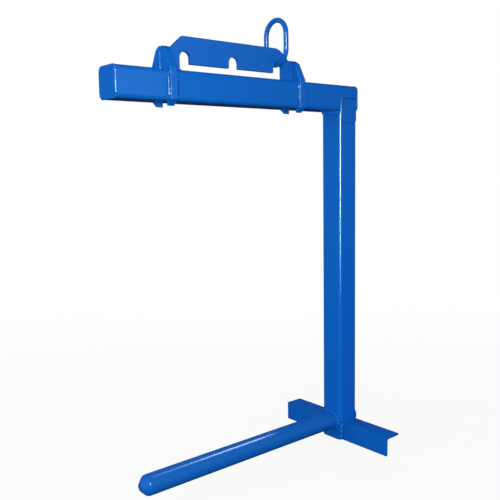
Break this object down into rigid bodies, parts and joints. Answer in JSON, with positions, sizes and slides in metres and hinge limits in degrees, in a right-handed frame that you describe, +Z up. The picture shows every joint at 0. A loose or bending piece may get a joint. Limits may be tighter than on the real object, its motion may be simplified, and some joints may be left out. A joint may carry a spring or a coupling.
{
  "type": "coil lifter",
  "caption": "C-shaped coil lifter of square tube with a round pointed load bar, an angle-iron foot, and a captive lifting ring in a notched hanger plate that sets the balance.",
  "frame": {"origin": "on the floor, under the middle of the bounding box", "axes": "+Z up, +X along the beam from the load bar's nose to the post, +Y to the rear side"},
  "size_m": [1.098, 0.556, 1.6581],
  "materials": {
    "blue_paint": "gloss"
  },
  "bodies": {
    "frame": {"top_beam": "blue_paint", "beam_cap_nose": "blue_paint", "beam_cap_post": "blue_paint", "post": "blue_paint", "post_foot_cap": "blue_paint", "load_bar": "blue_paint", "hanger_plate": "blue_paint", "foot_angle_front": "blue_paint", "foot_angle_rear": "blue_paint", "fishplate_front": "blue_paint", "fishplate_rear": "blue_paint", "cheek_nose_front": "blue_paint", "cheek_nose_rear": "blue_paint", "cheek_post_front": "blue_paint", "cheek_post_rear": "blue_paint", "welds_load_bar": "blue_paint", "welds_post_head": "blue_paint", "welds_cheeks": "blue_paint", "welds_fishplates": "blue_paint", "welds_hanger_plate": "blue_paint", "welds_foot_angles": "blue_paint", "welds_caps": "blue_paint"},
    "ring": {"lifting_ring": "blue_paint"}
  },
  "joints": [
    {"name": "ring_swing", "type": "hinge", "parent": "frame", "child": "ring", "pos_m": [0.145, 0, 1.49117], "axis": [0, 1, 0], "range_deg": [-63, 90]}
  ]
}
